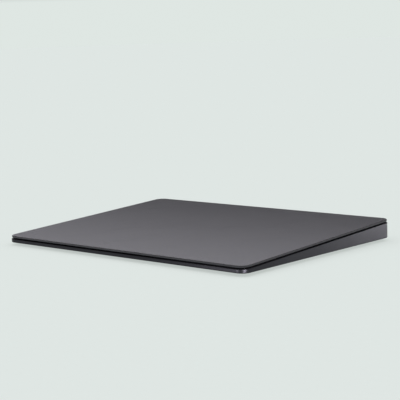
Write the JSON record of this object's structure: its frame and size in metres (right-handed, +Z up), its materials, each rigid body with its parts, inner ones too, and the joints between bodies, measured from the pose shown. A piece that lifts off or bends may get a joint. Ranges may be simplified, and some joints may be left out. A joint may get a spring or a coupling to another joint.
{
  "type": "trackpad",
  "caption": "Low wedge-shaped desktop trackpad: a glass touch plate floating on sensing flexures over a milled metal tray, with a haptic magnet, battery, charging port and power slider.",
  "frame": {"origin": "centre of the footprint at desk level, on the plane of the four foot faces", "axes": "+X to the user's right along the width, +Y from the low front edge to the high rear edge, +Z up"},
  "size_m": [0.16, 0.115, 0.0109],
  "materials": {
    "anodised_aluminium": "bead blasted and anodised dark grey",
    "etched_glass": "dark grey back-painted glass with a satin etched face",
    "foot_rubber": "matt",
    "spring_steel": "rolled",
    "screw_steel": "turned",
    "magnet_steel": "laminated",
    "copper_wire": "enamelled copper winding",
    "copper_foil": "thin foil",
    "gold_contact": "plated",
    "green_board": "solder mask over glass fibre board",
    "black_board": "black solder mask over glass fibre board",
    "amber_ribbon": "flexible printed circuit",
    "cell_pouch": "laminated foil pouch",
    "shield_metal": "pressed can",
    "chip_plastic": "moulded",
    "dark_plastic": "moulded",
    "ceramic": "fired ceramic with tinned ends",
    "white_adhesive": "double-sided tape",
    "black_adhesive": "adhesive sheet",
    "clear_gel": "soft clear gel",
    "slider_metal": "anodised",
    "green_mark": "printed",
    "shell_steel": "drawn and nickel plated"
  },
  "bodies": {
    "base": {"lower_case": "anodised_aluminium", "foot_front_left": "foot_rubber", "foot_front_right": "foot_rubber", "foot_rear_left": "foot_rubber", "foot_rear_right": "foot_rubber", "battery_adhesive": "white_adhesive", "battery_cell": "cell_pouch", "battery_guard_board": "green_board", "battery_ribbon": "amber_ribbon", "battery_plug": "dark_plastic", "logic_board": "green_board", "logic_board_screws": "screw_steel", "main_controller": "chip_plastic", "radio_module": "shield_metal", "charge_inductor": "dark_plastic", "board_capacitors": "ceramic", "touch_socket": "dark_plastic", "touch_ribbon": "amber_ribbon", "ribbon_plugs": "dark_plastic", "sensor_ribbon": "amber_ribbon", "flexure_front_left": "spring_steel", "flexure_front_right": "spring_steel", "flexure_rear_left": "spring_steel", "flexure_rear_right": "spring_steel", "flexure_screws": "screw_steel", "strain_gauges": "amber_ribbon", "haptic_bracket": "spring_steel", "haptic_screws": "screw_steel", "haptic_core": "magnet_steel", "haptic_coils": "copper_wire", "haptic_ribbon": "amber_ribbon", "antenna_carrier": "dark_plastic", "antenna_element": "copper_foil", "port_shell": "shell_steel", "port_tongue": "dark_plastic", "port_contacts": "gold_contact", "port_board": "green_board", "port_screws": "screw_steel", "port_ribbon": "amber_ribbon", "switch_guide": "dark_plastic", "switch_board": "green_board", "switch_holder": "spring_steel"},
    "press_carrier": {"tip_plate_front_left": "spring_steel", "tip_plate_front_right": "spring_steel", "tip_plate_rear_left": "spring_steel", "tip_plate_rear_right": "spring_steel", "gel_pad_front_left": "clear_gel", "gel_pad_front_right": "clear_gel", "gel_pad_rear_left": "clear_gel", "gel_pad_rear_right": "clear_gel"},
    "touch_plate": {"touch_glass": "etched_glass", "panel_adhesive": "black_adhesive", "touch_board": "black_board", "touch_controller": "chip_plastic", "touch_plug": "dark_plastic", "haptic_armature": "magnet_steel"},
    "power_switch": {"power_slider": "slider_metal", "switch_lever": "dark_plastic", "slider_on_mark": "green_mark"}
  },
  "joints": [
    {"name": "plate_press", "type": "slide", "parent": "base", "child": "press_carrier", "axis": [0, 0.0521, -0.9986], "range_m": [0, 0.0002], "stiffness_N_per_m": 6000, "springref_m": -0.0003, "deforming": ["flexure_front_left", "flexure_front_right", "flexure_rear_left", "flexure_rear_right", "strain_gauges", "touch_ribbon"]},
    {"name": "plate_shift", "type": "slide", "parent": "press_carrier", "child": "touch_plate", "axis": [0, 0.9986, 0.0521], "range_m": [-0.0002, 0.0002], "stiffness_N_per_m": 8000},
    {"name": "switch_slide", "type": "slide", "parent": "base", "child": "power_switch", "axis": [1, 0, 0], "range_m": [0, 0.0036]}
  ]
}
